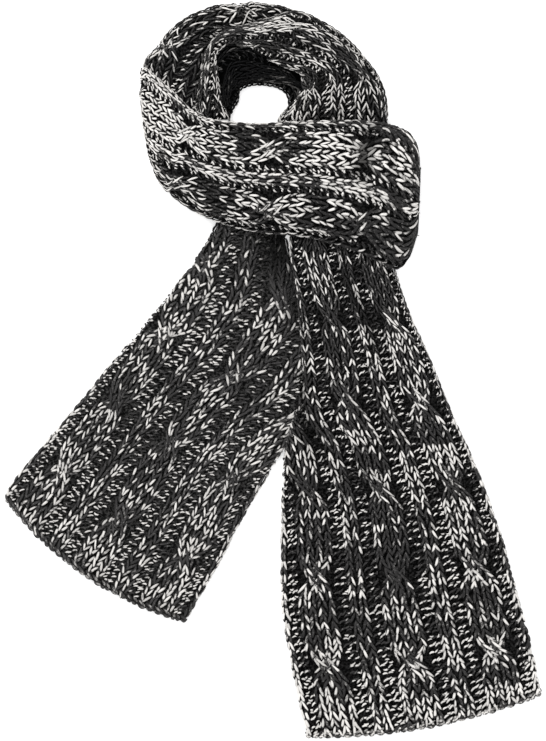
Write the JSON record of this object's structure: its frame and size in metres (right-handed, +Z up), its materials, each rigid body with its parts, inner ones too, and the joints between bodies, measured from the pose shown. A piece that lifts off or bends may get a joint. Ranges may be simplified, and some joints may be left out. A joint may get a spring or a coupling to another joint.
{
  "type": "knit scarf",
  "caption": "Cable-knit scarf laid flat, wound once into a loop with a folded band across the front and its two square-ended tails spread below.",
  "frame": {"origin": "middle of the scarf's footprint, on the surface that it lies on", "axes": "+Z up from the surface, +Y from the tails' ends towards the loop, +X to the right seen from above"},
  "size_m": [0.457, 0.625, 0.036],
  "materials": {
    "knit_tail_right": "bulky marled yarn in charcoal and light grey, cable knit, matt and softly fuzzy",
    "knit_tail_left": "bulky marled yarn in charcoal and mid grey, cable knit, matt and softly fuzzy",
    "knit_band": "bulky marled yarn, mostly light grey over charcoal, cable knit, matt",
    "knit_loop": "bulky marled yarn in charcoal and light grey, cable knit, matt",
    "knit_shade": "the same yarn where it is nearly all charcoal, matt"
  },
  "bodies": {
    "root": {"right_tail": "knit_tail_right", "left_tail": "knit_tail_left", "front_band": "knit_band", "outer_loop": "knit_loop", "inner_loop": "knit_loop", "lower_loop": "knit_shade", "hidden_layers": "knit_shade"}
  },
  "joints": []
}
